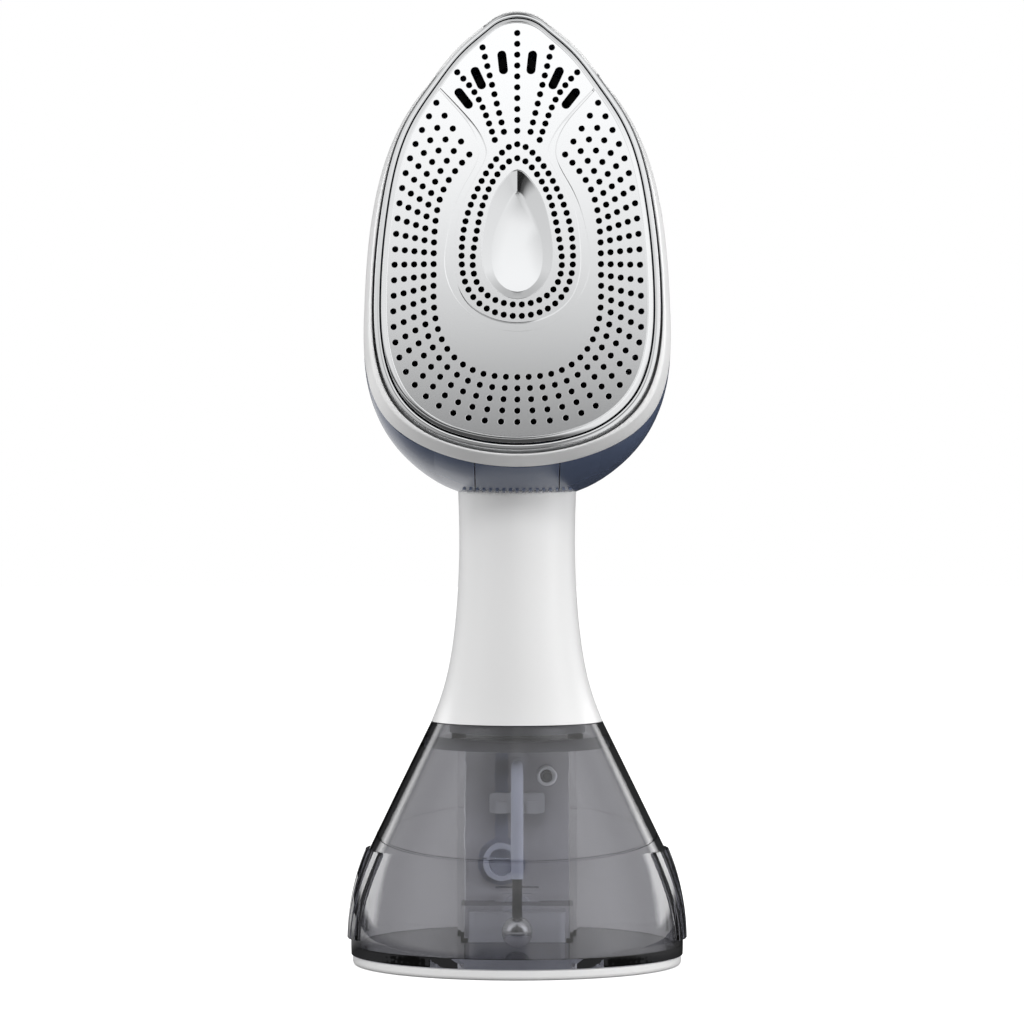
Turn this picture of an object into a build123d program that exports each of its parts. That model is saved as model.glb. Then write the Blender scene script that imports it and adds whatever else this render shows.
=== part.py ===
from build123d import *
import os
from functools import cache
from math import cos, radians, sin, tan

# ---------------------------------------------------------------- driving dimensions (mm)
# Z is up, the stand rests on Z = 0, the soleplate faces -Y and X = 0 is the symmetry plane.
FIT = 0.3                    # gap between neighbouring mouldings and round moving pieces
RUN_FIT = 0.05               # radial gap of a shaft in its bore
PRESS_FIT = 0.02             # radial gap of a piece pushed into its hole
WALL = 2.2                   # wall of the moulded shells

# head: a pointed oval, leaning back
HEAD_TILT = 13.0
HEAD_Y, HEAD_Z = -38.7, 218.1
PLATE_HALF_W = 41.6
PLATE_HEEL, PLATE_NOSE = 56.6, 78.2
PLATE_T = 2.4
PLATE_EASE, TRIM_EASE = 0.7, 1.2
EDGE_GAP = 0.35              # dark line between plate and rolled trim
TRIM_W, TRIM_SETBACK, TRIM_DEPTH = 2.25, 1.1, 6.0
BEZEL_LIP, BEZEL_FLARE = 0.5, 2.4
BEZEL_FRONT, BEZEL_BACK = 2.6, 9.5
STEAM_HOLE_D = 1.9
SLOT_L, SLOT_W = 7.6, 2.7
HOLE_LANES, HOLE_ROWS = 5, 26
GROOVE_DEPTH = 0.5
TEAR_DEPTH = 1.3
CASING_DEPTH = 56.0

# steam chamber behind the plate
GASKET_T = 0.8
CHAMBER_HALF_W, CHAMBER_HEEL, CHAMBER_NOSE = 36.5, 50.0, 68.0
CHAMBER_T, CHAMBER_WALL, CHAMBER_CAVITY = 11.0, 3.0, 6.0
ELEMENT_R, ELEMENT_HALF_W = 3.2, 17.0
ELEMENT_HEEL, ELEMENT_NOSE = -34.0, 26.0
SHIELD_T, SHIELD_BACK = 0.8, 24.0
INLET_V, INLET_BACK = -30.0, 26.0

# handle
HANDLE_BOTTOM, HANDLE_TOP = 75.9, 166.0
HANDLE_SPLIT_Y = -2.0

# stand and spine
FOOT_T = 3.0
FOOT_HALF_W, FOOT_HALF_D, FOOT_Y = 51.6, 46.0, -0.8
PAD_R, PAD_T = 5.5, 1.2
SPINE_W, SPINE_Y = 33.0, 18.0
RAIL_X, RAIL_W, RAIL_H = 16.8, 1.4, 1.4
BLOCK_W, BLOCK_FRONT, BLOCK_TOP = 30.2, -1.0, 15.7
LUG_R, LUG_L = 4.4, 5.0

# water tank
BASE_T = 3.0
TANK_WALL = 2.2
CREASE_Z = 36.0
SEAM_Z, SEAM_TILT, SEAM_W, SEAM_DEEP = 40.9, 8.8, 0.5, 0.35   # weld line: height at Y 0, degrees
GRIP_T, GRIP_Y, GRIP_Z0, GRIP_Z1 = 1.2, 15.0, 8.6, 38.2    # ribbed finger grips on the tank's sides
GRIP_RIBS, GRIP_RIB_W = 7, 2.9
ROOF_T, ROOF_TOP = 3.6, 71.0
BACK_GAP = 1.8               # between the tank's rear wall and the spine
PORT_Z = 61.0
NIPPLE_R, NIPPLE_BORE, NIPPLE_L = 2.6, 1.4, 7.0
SOCKET_R, SOCKET_L = 5.0, 6.0
VENT_X, VENT_Z, VENT_R, VENT_BORE, VENT_L = 9.4, 58.0, 3.5, 2.1, 4.0
PLUG_X, PLUG_Z, PLUG_R, PLUG_RIM, PLUG_T = -4.9, 30.4, 7.6, 1.7, 1.2
STRAP_W, STRAP_TOP = 4.1, 65.0
CLIP_W, CLIP_H, CLIP_Z, CLIP_T, CLIP_TAB = 17.6, 6.4, 49.2, 2.4, 3.6

# pick-up tube
TUBE_R, TUBE_BORE = 1.9, 1.1
TUBE_BEND, BEND_SHARE = 17.0, 0.45
STEM_R, STEM_TOP = 1.55, 28.3
BALL_R, BALL_Z, BALL_Y = 4.75, 11.7, -20.0

# trigger
TRIGGER_W, TRIGGER_BACK_Y = 25.6, -15.0
TRIGGER_PIN_Y, TRIGGER_PIN_Z, TRIGGER_PIN_R, HUB_R = -36.0, 157.6, 1.5, 2.9
TRIGGER_SWING = 1.3          # room that it needs in front of the handle
TEETH, TEETH_PITCH, TOOTH_W, TOOTH_H, TEETH_DEEP = 17, 2.06, 0.9, 0.5, 3.2
PAD_Z = 152.4                # flat on which the spring stands
SPRING_R, SPRING_WIRE, SPRING_TURNS = 2.6, 0.45, 5
SPRING_Y, SPRING_TOP = -28.4, 163.0
EAR_T = 2.4
SWITCH_X, SWITCH_W_X, SWITCH_W_Y, SWITCH_BODY_H = 8.0, 6.4, 5.6, 7.0
PLUNGER_R, PLUNGER_GAP, PLUNGER_IN = 0.8, 0.2, 1.5

# pump, board and buttons in the handle
PUMP_Y, PUMP_Z, PUMP_R, PUMP_L = -9.0, 100.0, 6.0, 28.0
COIL_R, COIL_L = 9.5, 14.0
PISTON_R, PISTON_L = 2.2, 14.0
BOARD_W, BOARD_L, BOARD_T, BOARD_Y, BOARD_Z = 20.0, 42.0, 1.6, 3.2, PUMP_Z + 5.5
BUTTON_R, BUTTON_PROUD = 5.0, 1.0
POWER_Z, MODE_Z = PUMP_Z + 35.0, PUMP_Z + 18.0
BUTTON_TRAVEL = 0.8
SWITCH_W, SWITCH_H, STEM_PIN_R = 6.0, 3.0, 1.4
HOSE_R = 2.4
RIB_T = 2.0
COIL_Z = PUMP_Z + 8.0
GLAND_R, GLAND_BORE, GLAND_Z, GLAND_PROUD = 5.5, 3.4, 14.0, 1.6

ALL = {}


def put(name, shape):
    """Keep one sub-part under its node name."""
    ALL[name] = shape


# ---------------------------------------------------------------- shared outlines
HEAD = Plane(
    origin=(0, HEAD_Y, HEAD_Z),
    x_dir=(1, 0, 0),
    z_dir=(0, -cos(radians(HEAD_TILT)), sin(radians(HEAD_TILT))),
)
# sides of the iron-shaped outline between its heel and nose arcs: share of the half width,
# share of the length
EGG = [(0.842, 0.109), (0.973, 0.216), (1.0, 0.336), (0.950, 0.554), (0.765, 0.757), (0.484, 0.884),
       (0.296, 0.944)]
GUARD_SIDES = [(0.866, 0.109), (0.988, 0.216)] + EGG[2:]      # fuller low corners of guard and casing
HEEL_ARC, HEEL_ANGLE = 1.45, radians(22)     # radius as a share of the half width, half angle
NOSE_ARC, NOSE_ANGLE = 0.16, radians(46)


def ring_curve(half):
    """Smooth closed curve from the points of its right half, which starts and ends on X = 0."""
    return Spline(*half, *[(-x, v) for x, v in reversed(half[1:-1])], periodic=True)


def egg(half_w, heel, nose, depth=0.0, sides=EGG):
    """Iron-shaped face: half_w wide each side, from -heel to +nose, at -depth behind the plate."""
    heel_r, nose_r = HEEL_ARC * half_w, NOSE_ARC * half_w
    x0, v0 = heel_r * sin(HEEL_ANGLE), heel_r * (1 - cos(HEEL_ANGLE)) - heel
    x1, v1 = nose_r * sin(NOSE_ANGLE), nose - nose_r * (1 - cos(NOSE_ANGLE))
    points = [(x * half_w, t * (heel + nose) - heel) for x, t in sides]
    side = Spline((x0, v0), *points, (x1, v1))
    bottom = ThreePointArc((-x0, v0), (0, -heel), (x0, v0))
    top = ThreePointArc((x1, v1), (0, nose), (-x1, v1))
    other = mirror(side, Plane.YZ).edge()
    return Pos(0, 0, -depth) * make_face(Wire([bottom, side, top, other]))


def plate_egg(grow, depth=0.0):
    """The soleplate's outline grown by a margin."""
    return egg(PLATE_HALF_W + grow, PLATE_HEEL + grow, PLATE_NOSE + grow, depth)


def plate_prism(grow, front, back):
    """A straight block of the soleplate's outline between two depths."""
    return extrude(plate_egg(grow, back), back - front)


def crowned_prism(grow, front, back, ease):
    """The same block with its front edge eased by two narrow bevels."""
    steps = [(0, ease), (0.3 * ease, 0.3 * ease), (ease, 0)]
    block = plate_prism(grow, front + ease, back)
    for (in0, d0), (in1, d1) in zip(steps, steps[1:]):
        block += loft([plate_egg(grow - in0, front + d0), plate_egg(grow - in1, front + d1)])
    return block


def on_head(shape):
    return HEAD.location * shape


def both(points):
    """Points of the right half and their mirror images; points on the centre line once."""
    return points + [(-x, v) for x, v in points if abs(x) > 1e-6]


def along(curve, count, last=1.0):
    """Evenly spaced points on a curve, as (x, v) pairs."""
    spots = [curve @ (last * k / (count - 1)) for k in range(count)]
    return [(round(p.X, 4), p.Y) for p in spots]


def oval(half_w, front, back, z):
    """Ellipse between a front and a back y, at height z."""
    return Pos(0, (front + back) / 2, z) * make_face(Ellipse(half_w, (back - front) / 2).wire())


# ---------------------------------------------------------------- soleplate
LANE_IN = [(0, -36.2), (10.5, -35.1), (19.3, -29.8), (24.0, -21.5), (25.5, -5.0),
           (25.2, 10.7), (22.6, 23.2), (14.7, 34.5)]
LANE_OUT = [(0, -50.2), (16.1, -48.6), (28.7, -41.5), (36.4, -28.7), (37.7, -10.1),
            (36.9, 10.5), (32.1, 35.6), (24.9, 51.2)]
RING_OUT = [(0, 37.8), (6.7, 32.7), (12.2, 23.3), (15.8, 13.2), (17.0, 2.5),
            (16.1, -5.5), (12.1, -12.5), (0, -17.0)]
RING_IN = [(0, 33.3), (6.3, 27.8), (10.7, 17.9), (12.8, 7.4), (13.6, -0.6),
           (11.2, -8.3), (0, -13.4)]
FAN = [[(0, 73.9), (0, 42.1)], [(11.0, 69.4), (4.1, 41.8)],
       [(18.7, 61.2), (13.3, 54.8), (9.6, 47.1), (6.9, 39.2)]]
FAN_COUNT = 10
SLOTS = [(4.5, 64.3, 84.0), (12.0, 59.2, 66.0), (16.5, 52.6, 53.0)]
GROOVE_IN = [(24.5, 57.3), (16.3, 46.3), (9.8, 35.0), (13.8, 24.7), (16.8, 15.1),
             (18.4, 0.1), (13.7, -14.5), (0, -19.8)]
GROOVE_OUT = [(25.3, 56.6), (17.8, 47.6), (12.2, 35.0), (15.9, 26.3), (19.6, 16.7),
              (22.7, 0.1), (18.2, -15.1), (0, -22.7)]
TEAR_RIM = [(0, 29.8), (5.2, 23.1), (8.6, 14.5), (10.7, 0.1), (7.6, -9.1), (0, -11.6)]
TEAR_FLOOR = [(0, 23.1), (3.1, 18.3), (5.2, 11.9), (7.6, -0.2), (4.9, -7.3), (0, -8.8)]
RINGS = [(RING_OUT, 51), (RING_IN, 43)]


def steam_holes():
    """Centres of all round steam holes: a U-shaped field of rows, two rings and a fan."""
    inner = along(Spline(*LANE_IN), HOLE_ROWS + 1)
    outer = along(Spline(*LANE_OUT), HOLE_ROWS + 1)
    spots = []
    for (x0, v0), (x1, v1) in zip(inner, outer):
        for lane in range(HOLE_LANES):
            t = lane / (HOLE_LANES - 1)
            spots += both([(x0 + t * (x1 - x0), v0 + t * (v1 - v0))])
    for points, count in RINGS:
        spots += along(ring_curve(points), count + 1)[:-1]
    for points in FAN:
        line = Line(*points) if len(points) == 2 else Spline(*points)
        spots += both(along(line, FAN_COUNT))
    return spots


def groove_face():
    """Omega-shaped stamped ribbon round the centre rings."""
    inner = Spline(*GROOVE_IN)
    outer = Spline(*GROOVE_OUT)
    end = Line(GROOVE_IN[0], GROOVE_OUT[0])
    edges = [inner, end, outer]
    twins = [twin for edge in edges for twin in mirror(edge, Plane.YZ).edges()]
    return make_face(Wire(edges + twins))


def slot_wire(x, v, angle):
    return (Pos(x, v) * Rot(0, 0, angle) * SlotOverall(SLOT_L, SLOT_W)).face().outer_wire()


def soleplate():
    holes = [Wire([Edge.make_circle(STEAM_HOLE_D / 2, Plane((x, v, 0)))]) for x, v in steam_holes()]
    for x, v, angle in SLOTS:
        holes += [slot_wire(x, v, angle), slot_wire(-x, v, 180 - angle)]
    sheet = Pos(0, 0, -PLATE_T) * Face(plate_egg(0).face().outer_wire(), holes)
    plate = extrude(sheet, PLATE_T, dir=(0, 0, 1)) & crowned_prism(0, 0, PLATE_T, PLATE_EASE)
    plate -= extrude(Pos(0, 0, -GROOVE_DEPTH) * groove_face(), GROOVE_DEPTH + 1, dir=(0, 0, 1))
    floor = Pos(0, 0, -TEAR_DEPTH) * make_face(ring_curve(TEAR_FLOOR))
    dish = loft([floor, make_face(ring_curve(TEAR_RIM))])
    return plate - dish


def trim_ring():
    """Rolled bright edge that frames the plate."""
    back = TRIM_SETBACK + TRIM_DEPTH
    ring = crowned_prism(EDGE_GAP + TRIM_W, TRIM_SETBACK, back, TRIM_EASE)
    return ring - plate_prism(EDGE_GAP, 0, back + 1)


def bezel():
    """White heat guard that flares out behind the trim."""
    lip = EDGE_GAP + TRIM_W + BEZEL_LIP
    wide = lip + BEZEL_FLARE
    back = egg(PLATE_HALF_W + wide, PLATE_HEEL + wide, PLATE_NOSE + wide, BEZEL_BACK, GUARD_SIDES)
    outer = loft([back, plate_egg(lip, BEZEL_FRONT)])
    return outer - plate_prism(EDGE_GAP + TRIM_W + FIT / 3, 0, BEZEL_BACK + 1)


CASING = [  # depth, half width, heel, nose
    (BEZEL_BACK + FIT, PLATE_HALF_W + 5.0, PLATE_HEEL + 5.0, PLATE_NOSE + 3.6),
    (BEZEL_BACK + 14, PLATE_HALF_W + 4.0, PLATE_HEEL + 8.0, PLATE_NOSE - 0.2),
    (0.68 * CASING_DEPTH, PLATE_HALF_W - 1.6, PLATE_HEEL + 8.4, PLATE_NOSE - 11.0),
    (0.9 * CASING_DEPTH, PLATE_HALF_W - 9.6, PLATE_HEEL + 6.5, PLATE_NOSE - 28.0),
    (CASING_DEPTH, PLATE_HALF_W - 22.0, PLATE_HEEL - 3.0, PLATE_NOSE - 50.0),
]


@cache
def casing_solid(inset):
    """Body of the blue rear casing, or its inside when inset by the wall."""
    sections = []
    for depth, half_w, heel, nose in CASING:
        back = depth - inset if depth == CASING_DEPTH else depth
        sections.append(egg(half_w - inset, heel - inset, nose - inset, back, GUARD_SIDES))
    return loft(sections)


# ---------------------------------------------------------------- handle, spine and tank bodies
HANDLE = (  # height, half width, front y, back y
    (HANDLE_BOTTOM, 27.1, -22.4, 38.0), (84.0, 24.0, -22.5, 29.5), (96.0, 21.0, -23.0, 21.0),
    (112.0, 19.0, -23.5, 15.5), (132.0, 18.1, -24.0, 12.0), (150.0, 18.5, -24.5, 11.0),
    (HANDLE_TOP, 17.0, -24.5, 3.5),
)
TANK_TOP_Z = HANDLE_BOTTOM - FIT
TANK_BOTTOM_Z = FOOT_T + FIT
FLOOR_Z = TANK_BOTTOM_Z + BASE_T
TANK_UPPER = ((CREASE_Z, 46.6, -37.2, 42.0), (58.0, 35.9, -29.0, 40.0), (TANK_TOP_Z, 27.2, -22.4, 38.0))
TANK_LOWER = ((TANK_BOTTOM_Z, 52.1, -46.4, 44.6), (8.4, 52.2, -46.3, 44.5), (20.0, 51.2, -42.8, 43.6),
              (CREASE_Z, 46.6, -37.2, 42.0))


@cache
def oval_loft(sections, inset=0.0):
    """Smooth body through ovals of (height, half width, front y, back y)."""
    return loft([oval(w - inset, f + inset, b - inset, z) for z, w, f, b in sections])


def handle_solid(inset=0.0):
    return oval_loft(HANDLE, inset)


@cache
def tank_solid(inset=0.0):
    return oval_loft(TANK_UPPER, inset) + oval_loft(TANK_LOWER, inset)


def slab(x, y0, y1, z0, z1):
    """Box centred on X = 0 with half width x."""
    return Pos(0, (y0 + y1) / 2, (z0 + z1) / 2) * Box(2 * x, y1 - y0, z1 - z0)


FAR = 80.0
SPINE_X = SPINE_W / 2
BACK_Y = SPINE_Y - BACK_GAP
CHANNEL_X = SPINE_X + FIT


def spine():
    """Hollow column at the back that carries the handle; its back follows the tank's outline."""
    foot_top = FOOT_T
    column = tank_solid() & slab(SPINE_X, SPINE_Y, FAR, foot_top, TANK_TOP_Z)
    column += Pos(0, 0, FIT) * (column & slab(SPINE_X, SPINE_Y, FAR, TANK_TOP_Z - 1, TANK_TOP_Z))
    column += tank_solid() & slab(SPINE_X, SPINE_Y, FAR, TANK_BOTTOM_Z, TANK_BOTTOM_Z + 1)
    low = Pos(0, 0, -FIT) * (tank_solid() & slab(SPINE_X, SPINE_Y, FAR, TANK_BOTTOM_Z, TANK_BOTTOM_Z + 1))
    room = tank_solid(WALL) & slab(SPINE_X - WALL, SPINE_Y + WALL, FAR, TANK_BOTTOM_Z + 3, TANK_TOP_Z)
    return column + low - room - Pos(0, 0, 1) * room


def tank_shell():
    """Smoked tank: walled body with a docking channel, a pocket and a recessed roof."""
    body = tank_solid()
    room = tank_solid(TANK_WALL)
    room -= slab(CHANNEL_X + TANK_WALL, BACK_Y - TANK_WALL, FAR, 0, FAR)
    room -= slab(BLOCK_W / 2 + FIT + TANK_WALL, BLOCK_FRONT - FIT - TANK_WALL, FAR, 0,
                 BLOCK_TOP + FIT + TANK_WALL)
    room -= slab(LUG_R + FIT + TANK_WALL, BACK_Y - LUG_L - FIT - TANK_WALL, FAR, 0,
                 BLOCK_TOP + LUG_R + FIT + TANK_WALL)
    body -= room & slab(FAR, -FAR, FAR, 0, ROOF_TOP - ROOF_T)
    body -= tank_solid(TANK_WALL) & slab(FAR, -FAR, FAR, ROOF_TOP, TANK_TOP_Z)
    body -= slab(COUPLING_X + FIT, 0, FAR, ROOF_TOP, FAR)
    return docking_cuts(body) & slab(FAR, -FAR, FAR, FLOOR_Z, FAR)


def tank_grips():
    """Upright ribs on both sides of the tank, for finger and thumb."""
    pad = oval_loft(TANK_LOWER, -GRIP_T) - oval_loft(TANK_LOWER, TANK_WALL / 2)
    pitch = (2 * GRIP_Y - GRIP_RIB_W) / (GRIP_RIBS - 1)
    ribs = []
    for side in (-1, 1):
        for k in range(GRIP_RIBS):
            y = -GRIP_Y + GRIP_RIB_W / 2 + pitch * k
            ribs.append(Pos(side * FAR / 2, y, (GRIP_Z0 + GRIP_Z1) / 2) * Box(FAR, GRIP_RIB_W, GRIP_Z1 - GRIP_Z0))
    return pad & Compound(ribs)


def docking_cuts(body):
    """Room for the spine, the block and its lug, open to the back."""
    body -= slab(CHANNEL_X, BACK_Y, FAR, 0, 2 * FAR)
    body -= slab(BLOCK_W / 2 + FIT, BLOCK_FRONT - FIT, FAR, 0, BLOCK_TOP + FIT)
    body -= slab(LUG_R + FIT, BACK_Y - LUG_L - FIT, FAR, 0, BLOCK_TOP + LUG_R + FIT)
    return body


def y_rod(r, x, z, y0, y1):
    """Round rod along Y."""
    return Pos(x, (y0 + y1) / 2, z) * Rot(90, 0, 0) * Cylinder(r, y1 - y0)


def z_rod(r, x, y, z0, z1):
    return Pos(x, y, (z0 + z1) / 2) * Cylinder(r, z1 - z0)


COUPLING_X, COUPLING_MARGIN, COUPLING_DROP = 21.5, 5.0, 3.6


def build_tank():
    inner_back = BACK_Y - TANK_WALL
    shell = tank_shell()
    shell += y_rod(SOCKET_R, 0, PORT_Z, inner_back - SOCKET_L, inner_back)
    shell -= y_rod(NIPPLE_R + RUN_FIT, 0, PORT_Z, inner_back - SOCKET_L + 1.6, FAR)
    shell -= y_rod(TUBE_R - 0.1, 0, PORT_Z, 0, FAR)
    shell += y_rod(VENT_R, VENT_X, VENT_Z, inner_back - VENT_L, inner_back)
    shell -= y_rod(VENT_BORE, VENT_X, VENT_Z, 0, FAR)
    shell -= y_rod(PLUG_R - PLUG_RIM, PLUG_X, PLUG_Z, 0, FAR)
    seam = Pos(0, 0, SEAM_Z) * Rot(SEAM_TILT, 0, 0) * Box(2 * FAR, 2 * FAR, SEAM_W)
    shell -= seam & (tank_solid() - tank_solid(SEAM_DEEP))
    put("tank_shell", shell + tank_grips())

    base = tank_solid() & slab(FAR, -FAR, FAR, TANK_BOTTOM_Z, FLOOR_Z)
    base = docking_cuts(base)
    for side in (-1, 1):
        groove = slab(RAIL_W / 2 + FIT, -FAR / 2 - 1, FAR, 0, FOOT_T + RAIL_H + FIT)
        base -= Pos(side * RAIL_X, 0, 0) * groove
    put("tank_base", base)

    # silicone stopper in the rear wall, with its strap
    plug = y_rod(PLUG_R, PLUG_X, PLUG_Z, BACK_Y, BACK_Y + PLUG_T)
    plug += y_rod(PLUG_R - PLUG_RIM, PLUG_X, PLUG_Z, inner_back - 1, BACK_Y)
    plug -= y_rod(PLUG_R - 2 * PLUG_RIM, PLUG_X, PLUG_Z, 0, BACK_Y + PLUG_T - 0.5)
    strap_z0 = PLUG_Z + PLUG_R - 1
    strap = Pos(PLUG_X, 0, 0) * slab(STRAP_W / 2, BACK_Y, BACK_Y + PLUG_T - 0.2, strap_z0, STRAP_TOP)
    put("fill_stopper", plug + strap)

    # bracket with two tabs that keeps the tube off the wall
    clip = slab(CLIP_W / 2, inner_back - CLIP_T, inner_back, CLIP_Z - CLIP_H / 2, CLIP_Z + CLIP_H / 2)
    clip = fillet(clip.edges().filter_by(Axis.Y), 1.2)
    for side in (-1, 1):
        clip += Pos(side * 4.9, 0, 0) * slab(CLIP_TAB / 2, inner_back - CLIP_T - 2, inner_back - CLIP_T,
                                             CLIP_Z - CLIP_H / 2, CLIP_Z + 0.5)
    put("tube_clip", clip)
    build_pickup(inner_back)


def tube(r, route, bend):
    """Round tube along straight runs joined by tangent arcs, each as large as its runs allow."""
    points = [Vector(*point) for point in route]
    radii = []
    for before, corner, after in zip(points, points[1:], points[2:]):
        turn = radians((corner - before).get_angle(after - corner))
        shorter = min((corner - before).length, (after - corner).length)
        radii.append(min(bend, BEND_SHARE * shorter / tan(turn / 2)))
    path = FilletPolyline(*points, radius=radii)
    return sweep(Plane(path @ 0, z_dir=path % 0) * Circle(r), path)


def build_pickup(inner_back):
    """Hanging tube with a steel stem and a ball weight."""
    start = inner_back - SOCKET_L
    pivot = start + 1.6 - RUN_FIT
    nose = y_rod(TUBE_R - 0.1 - RUN_FIT, 0, PORT_Z, start, pivot)
    route = [(0, start, PORT_Z), (0, BALL_Y, PORT_Z), (0, BALL_Y, STEM_TOP)]
    put("pickup_hose", tube(TUBE_R, route, TUBE_BEND) + nose)
    put("pickup_stem", z_rod(STEM_R, 0, BALL_Y, BALL_Z, STEM_TOP) - Pos(0, BALL_Y, BALL_Z) * Sphere(BALL_R))
    put("pickup_weight", Pos(0, BALL_Y, BALL_Z) * Sphere(BALL_R))


def build_stand():
    foot_top = FOOT_T
    foot = Pos(0, FOOT_Y, 0) * extrude(make_face(Ellipse(FOOT_HALF_W, FOOT_HALF_D).wire()), FOOT_T)
    foot = fillet(foot.edges().group_by(Axis.Z)[0], 1.2)
    for side in (-1, 1):
        foot += Pos(side * RAIL_X, 0, 0) * slab(RAIL_W / 2, -34, BACK_Y - 4, foot_top - 0.5, foot_top + RAIL_H)
    pads = [(sx * 33, FOOT_Y + sy * 27) for sx in (-1, 1) for sy in (-1, 1)]
    for x, y in pads:
        foot -= z_rod(PAD_R, x, y, 0, PAD_T)
    screws = [(-9, 30), (9, 30)]
    for x, y in screws:
        foot -= z_rod(3.2, x, y, 0, 1.4) + z_rod(1.6, x, y, 0, FAR)
    put("foot", foot)
    put("foot_pads", Compound([z_rod(PAD_R, x, y, 0, PAD_T) for x, y in pads]))
    screw = z_rod(3.0, 0, 0, 0.3, 1.4) + z_rod(1.5, 0, 0, 1, TANK_BOTTOM_Z + 5)
    put("foot_screws", Compound([Pos(x, y, 0) * screw for x, y in screws]))

    block = slab(BLOCK_W / 2, BLOCK_FRONT, SPINE_Y, foot_top, BLOCK_TOP)
    block = fillet(block.edges().filter_by(Axis.Z).group_by(Axis.Y)[0], 2.5)
    lug = y_rod(LUG_R, 0, BLOCK_TOP, BACK_Y - LUG_L, SPINE_Y) & slab(FAR, 0, FAR, BLOCK_TOP - 1, FAR)
    put("dock_block", block + lug)


def build_body():
    whole = handle_solid() - (handle_solid(WALL) & slab(FAR, -FAR, FAR, HANDLE_BOTTOM + 3, FAR * 3))
    whole -= slab(8, SPINE_Y + WALL, SPINE_Y + WALL + 9, HANDLE_BOTTOM - 1, HANDLE_BOTTOM + 4)
    front = whole & slab(FAR, -FAR, HANDLE_SPLIT_Y, 0, 3 * FAR)
    back = whole & slab(FAR, HANDLE_SPLIT_Y, FAR, 0, 3 * FAR)
    inside = handle_solid(WALL - 0.1)
    for z in (COIL_Z - RIB_T, COIL_Z + COIL_L):
        front += inside & slab(FAR, -FAR, PUMP_Y, z, z + RIB_T)
    front -= z_rod(PUMP_R + RUN_FIT, 0, PUMP_Y, 0, 2 * FAR) & slab(FAR, -FAR, FAR, PUMP_Z, PUMP_Z + 2 * PUMP_L)
    for z in (BOARD_Z + 2, BOARD_Z + BOARD_L - 4):
        back += inside & slab(FAR, BOARD_Y + BOARD_T, FAR, z, z + RIB_T)
    for z, r in ((POWER_Z, BUTTON_R), (MODE_Z, BUTTON_R)):
        back -= y_rod(r + RUN_FIT, 0, z, 5, FAR)
    put("handle_front_shell", front)
    put("handle_rear_shell", back)
    column = spine()
    column -= y_rod(NIPPLE_R + PRESS_FIT, 0, PORT_Z, 0, SPINE_Y + WALL + 1)
    for x in (-9, 9):
        column -= z_rod(1.5, x, 30, 0, TANK_BOTTOM_Z + 5)
    column -= y_rod(GLAND_R - 1 + PRESS_FIT, 0, GLAND_Z, SPINE_Y + WALL + 1, FAR)
    put("spine", column)
    back_y = TANK_LOWER[1][3]
    gland = y_rod(GLAND_R, 0, GLAND_Z, back_y, back_y + GLAND_PROUD)
    gland += y_rod(GLAND_R - 1, 0, GLAND_Z, back_y - WALL - 2, back_y)
    put("cord_gland", gland - y_rod(GLAND_BORE, 0, GLAND_Z, 0, FAR))
    nipple = y_rod(NIPPLE_R, 0, PORT_Z, SPINE_Y - NIPPLE_L, SPINE_Y + WALL + 4)
    seal_y = SPINE_Y - NIPPLE_L + 1.2
    seal = y_rod(NIPPLE_R, 0, PORT_Z, seal_y, seal_y + 1.2) - y_rod(NIPPLE_R - 0.6, 0, PORT_Z, 0, FAR)
    put("water_nipple", nipple - y_rod(NIPPLE_BORE, 0, PORT_Z, 0, SPINE_Y + WALL + 2) - seal)
    put("nipple_seal", seal)
    low = HANDLE_BOTTOM - COUPLING_DROP
    _, _, front_y, back_y = HANDLE[0]
    plug = extrude(oval(COUPLING_X, front_y + COUPLING_MARGIN, back_y - COUPLING_MARGIN, low), COUPLING_DROP)
    put("coupling_plug", plug & slab(FAR, -FAR, SPINE_Y - 1, 0, FAR))


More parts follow.
